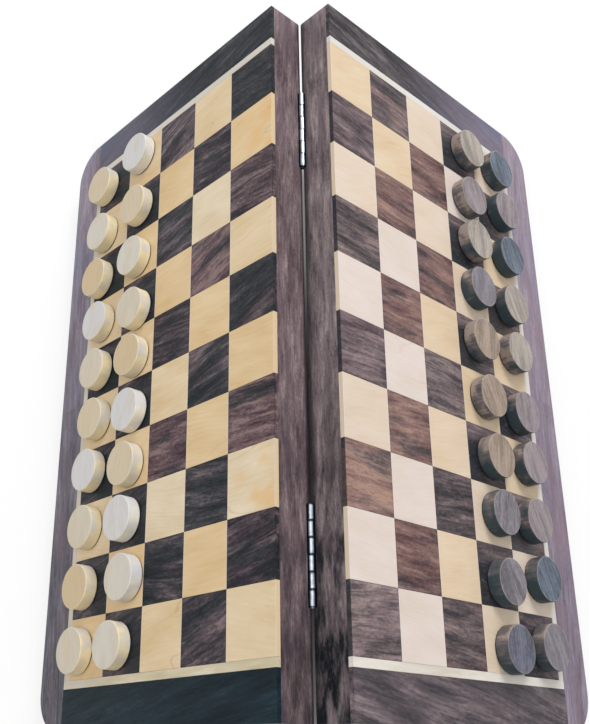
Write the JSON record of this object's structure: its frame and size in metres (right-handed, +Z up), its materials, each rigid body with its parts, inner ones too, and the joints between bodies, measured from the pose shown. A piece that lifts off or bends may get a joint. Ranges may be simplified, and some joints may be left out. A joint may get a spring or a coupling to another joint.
{
  "type": "folding draughts board",
  "caption": "Hinged two-part draughts board that opens flat or stands as a tent and closes into a tray for its magnetic wooden men.",
  "frame": {"origin": "on the floor under the hinge line, at the middle of the board's length", "axes": "+Y along the hinge line to the board's far end, +X across to the dark half, +Z up; at rest the halves stand at a right angle, like a tent"},
  "size_m": [0.2414, 0.303, 0.1202],
  "materials": {
    "rail_wood": "satin",
    "border_wood": "satin",
    "dark_wood": "satin",
    "light_wood": "satin",
    "line_wood": "satin",
    "panel_wood": "matt",
    "light_man_wood": "satin",
    "dark_man_wood": "satin",
    "sheet_steel": "galvanised",
    "hinge_steel": "nickel plated",
    "pin_steel": "plain",
    "screw_steel": "nickel plated"
  },
  "bodies": {
    "light_half": {"light_half_frame_rails": "rail_wood", "light_half_panel": "panel_wood", "light_half_steel_sheet": "sheet_steel", "light_half_light_squares": "light_wood", "light_half_dark_squares": "dark_wood", "light_half_inlay_lines": "line_wood", "light_half_border_strips": "border_wood", "light_half_hinge_leaves": "hinge_steel", "light_half_hinge_screws": "screw_steel", "far_hinge_pin": "pin_steel", "near_hinge_pin": "pin_steel"},
    "dark_half": {"dark_half_frame_rails": "rail_wood", "dark_half_panel": "panel_wood", "dark_half_steel_sheet": "sheet_steel", "dark_half_light_squares": "light_wood", "dark_half_dark_squares": "dark_wood", "dark_half_inlay_lines": "line_wood", "dark_half_border_strips": "border_wood", "dark_half_hinge_leaves": "hinge_steel", "dark_half_hinge_screws": "screw_steel"},
    "light_man_01": {"light_man_01": "light_man_wood"},
    "light_man_02": {"light_man_02": "light_man_wood"},
    "light_man_03": {"light_man_03": "light_man_wood"},
    "light_man_04": {"light_man_04": "light_man_wood"},
    "light_man_05": {"light_man_05": "light_man_wood"},
    "light_man_06": {"light_man_06": "light_man_wood"},
    "light_man_07": {"light_man_07": "light_man_wood"},
    "light_man_08": {"light_man_08": "light_man_wood"},
    "light_man_09": {"light_man_09": "light_man_wood"},
    "light_man_10": {"light_man_10": "light_man_wood"},
    "light_man_11": {"light_man_11": "light_man_wood"},
    "light_man_12": {"light_man_12": "light_man_wood"},
    "light_man_13": {"light_man_13": "light_man_wood"},
    "light_man_14": {"light_man_14": "light_man_wood"},
    "light_man_15": {"light_man_15": "light_man_wood"},
    "light_man_16": {"light_man_16": "light_man_wood"},
    "light_man_17": {"light_man_17": "light_man_wood"},
    "light_man_18": {"light_man_18": "light_man_wood"},
    "light_man_19": {"light_man_19": "light_man_wood"},
    "light_man_20": {"light_man_20": "light_man_wood"},
    "dark_man_01": {"dark_man_01": "dark_man_wood"},
    "dark_man_02": {"dark_man_02": "dark_man_wood"},
    "dark_man_03": {"dark_man_03": "dark_man_wood"},
    "dark_man_04": {"dark_man_04": "dark_man_wood"},
    "dark_man_05": {"dark_man_05": "dark_man_wood"},
    "dark_man_06": {"dark_man_06": "dark_man_wood"},
    "dark_man_07": {"dark_man_07": "dark_man_wood"},
    "dark_man_08": {"dark_man_08": "dark_man_wood"},
    "dark_man_09": {"dark_man_09": "dark_man_wood"},
    "dark_man_10": {"dark_man_10": "dark_man_wood"},
    "dark_man_11": {"dark_man_11": "dark_man_wood"},
    "dark_man_12": {"dark_man_12": "dark_man_wood"},
    "dark_man_13": {"dark_man_13": "dark_man_wood"},
    "dark_man_14": {"dark_man_14": "dark_man_wood"},
    "dark_man_15": {"dark_man_15": "dark_man_wood"},
    "dark_man_16": {"dark_man_16": "dark_man_wood"},
    "dark_man_17": {"dark_man_17": "dark_man_wood"},
    "dark_man_18": {"dark_man_18": "dark_man_wood"},
    "dark_man_19": {"dark_man_19": "dark_man_wood"},
    "dark_man_20": {"dark_man_20": "dark_man_wood"}
  },
  "joints": [
    {"name": "board_fold", "type": "hinge", "parent": "light_half", "child": "dark_half", "pos_m": [0, 0, 0.10814], "axis": [0, 1, 0], "range_deg": [-90, 90]},
    {"name": "light_man_01_lift", "type": "slide", "parent": "light_half", "child": "light_man_01", "axis": [-0.7071, 0, 0.7071], "range_m": [0, 0.03]},
    {"name": "light_man_02_lift", "type": "slide", "parent": "light_half", "child": "light_man_02", "axis": [-0.7071, 0, 0.7071], "range_m": [0, 0.03]},
    {"name": "light_man_03_lift", "type": "slide", "parent": "light_half", "child": "light_man_03", "axis": [-0.7071, 0, 0.7071], "range_m": [0, 0.03]},
    {"name": "light_man_04_lift", "type": "slide", "parent": "light_half", "child": "light_man_04", "axis": [-0.7071, 0, 0.7071], "range_m": [0, 0.03]},
    {"name": "light_man_05_lift", "type": "slide", "parent": "light_half", "child": "light_man_05", "axis": [-0.7071, 0, 0.7071], "range_m": [0, 0.03]},
    {"name": "light_man_06_lift", "type": "slide", "parent": "light_half", "child": "light_man_06", "axis": [-0.7071, 0, 0.7071], "range_m": [0, 0.03]},
    {"name": "light_man_07_lift", "type": "slide", "parent": "light_half", "child": "light_man_07", "axis": [-0.7071, 0, 0.7071], "range_m": [0, 0.03]},
    {"name": "light_man_08_lift", "type": "slide", "parent": "light_half", "child": "light_man_08", "axis": [-0.7071, 0, 0.7071], "range_m": [0, 0.03]},
    {"name": "light_man_09_lift", "type": "slide", "parent": "light_half", "child": "light_man_09", "axis": [-0.7071, 0, 0.7071], "range_m": [0, 0.03]},
    {"name": "light_man_10_lift", "type": "slide", "parent": "light_half", "child": "light_man_10", "axis": [-0.7071, 0, 0.7071], "range_m": [0, 0.03]},
    {"name": "light_man_11_lift", "type": "slide", "parent": "light_half", "child": "light_man_11", "axis": [-0.7071, 0, 0.7071], "range_m": [0, 0.03]},
    {"name": "light_man_12_lift", "type": "slide", "parent": "light_half", "child": "light_man_12", "axis": [-0.7071, 0, 0.7071], "range_m": [0, 0.03]},
    {"name": "light_man_13_lift", "type": "slide", "parent": "light_half", "child": "light_man_13", "axis": [-0.7071, 0, 0.7071], "range_m": [0, 0.03]},
    {"name": "light_man_14_lift", "type": "slide", "parent": "light_half", "child": "light_man_14", "axis": [-0.7071, 0, 0.7071], "range_m": [0, 0.03]},
    {"name": "light_man_15_lift", "type": "slide", "parent": "light_half", "child": "light_man_15", "axis": [-0.7071, 0, 0.7071], "range_m": [0, 0.03]},
    {"name": "light_man_16_lift", "type": "slide", "parent": "light_half", "child": "light_man_16", "axis": [-0.7071, 0, 0.7071], "range_m": [0, 0.03]},
    {"name": "light_man_17_lift", "type": "slide", "parent": "light_half", "child": "light_man_17", "axis": [-0.7071, 0, 0.7071], "range_m": [0, 0.03]},
    {"name": "light_man_18_lift", "type": "slide", "parent": "light_half", "child": "light_man_18", "axis": [-0.7071, 0, 0.7071], "range_m": [0, 0.03]},
    {"name": "light_man_19_lift", "type": "slide", "parent": "light_half", "child": "light_man_19", "axis": [-0.7071, 0, 0.7071], "range_m": [0, 0.03]},
    {"name": "light_man_20_lift", "type": "slide", "parent": "light_half", "child": "light_man_20", "axis": [-0.7071, 0, 0.7071], "range_m": [0, 0.03]},
    {"name": "dark_man_01_lift", "type": "slide", "parent": "dark_half", "child": "dark_man_01", "axis": [0.7071, 0, 0.7071], "range_m": [0, 0.03]},
    {"name": "dark_man_02_lift", "type": "slide", "parent": "dark_half", "child": "dark_man_02", "axis": [0.7071, 0, 0.7071], "range_m": [0, 0.03]},
    {"name": "dark_man_03_lift", "type": "slide", "parent": "dark_half", "child": "dark_man_03", "axis": [0.7071, 0, 0.7071], "range_m": [0, 0.03]},
    {"name": "dark_man_04_lift", "type": "slide", "parent": "dark_half", "child": "dark_man_04", "axis": [0.7071, 0, 0.7071], "range_m": [0, 0.03]},
    {"name": "dark_man_05_lift", "type": "slide", "parent": "dark_half", "child": "dark_man_05", "axis": [0.7071, 0, 0.7071], "range_m": [0, 0.03]},
    {"name": "dark_man_06_lift", "type": "slide", "parent": "dark_half", "child": "dark_man_06", "axis": [0.7071, 0, 0.7071], "range_m": [0, 0.03]},
    {"name": "dark_man_07_lift", "type": "slide", "parent": "dark_half", "child": "dark_man_07", "axis": [0.7071, 0, 0.7071], "range_m": [0, 0.03]},
    {"name": "dark_man_08_lift", "type": "slide", "parent": "dark_half", "child": "dark_man_08", "axis": [0.7071, 0, 0.7071], "range_m": [0, 0.03]},
    {"name": "dark_man_09_lift", "type": "slide", "parent": "dark_half", "child": "dark_man_09", "axis": [0.7071, 0, 0.7071], "range_m": [0, 0.03]},
    {"name": "dark_man_10_lift", "type": "slide", "parent": "dark_half", "child": "dark_man_10", "axis": [0.7071, 0, 0.7071], "range_m": [0, 0.03]},
    {"name": "dark_man_11_lift", "type": "slide", "parent": "dark_half", "child": "dark_man_11", "axis": [0.7071, 0, 0.7071], "range_m": [0, 0.03]},
    {"name": "dark_man_12_lift", "type": "slide", "parent": "dark_half", "child": "dark_man_12", "axis": [0.7071, 0, 0.7071], "range_m": [0, 0.03]},
    {"name": "dark_man_13_lift", "type": "slide", "parent": "dark_half", "child": "dark_man_13", "axis": [0.7071, 0, 0.7071], "range_m": [0, 0.03]},
    {"name": "dark_man_14_lift", "type": "slide", "parent": "dark_half", "child": "dark_man_14", "axis": [0.7071, 0, 0.7071], "range_m": [0, 0.03]},
    {"name": "dark_man_15_lift", "type": "slide", "parent": "dark_half", "child": "dark_man_15", "axis": [0.7071, 0, 0.7071], "range_m": [0, 0.03]},
    {"name": "dark_man_16_lift", "type": "slide", "parent": "dark_half", "child": "dark_man_16", "axis": [0.7071, 0, 0.7071], "range_m": [0, 0.03]},
    {"name": "dark_man_17_lift", "type": "slide", "parent": "dark_half", "child": "dark_man_17", "axis": [0.7071, 0, 0.7071], "range_m": [0, 0.03]},
    {"name": "dark_man_18_lift", "type": "slide", "parent": "dark_half", "child": "dark_man_18", "axis": [0.7071, 0, 0.7071], "range_m": [0, 0.03]},
    {"name": "dark_man_19_lift", "type": "slide", "parent": "dark_half", "child": "dark_man_19", "axis": [0.7071, 0, 0.7071], "range_m": [0, 0.03]},
    {"name": "dark_man_20_lift", "type": "slide", "parent": "dark_half", "child": "dark_man_20", "axis": [0.7071, 0, 0.7071], "range_m": [0, 0.03]}
  ]
}
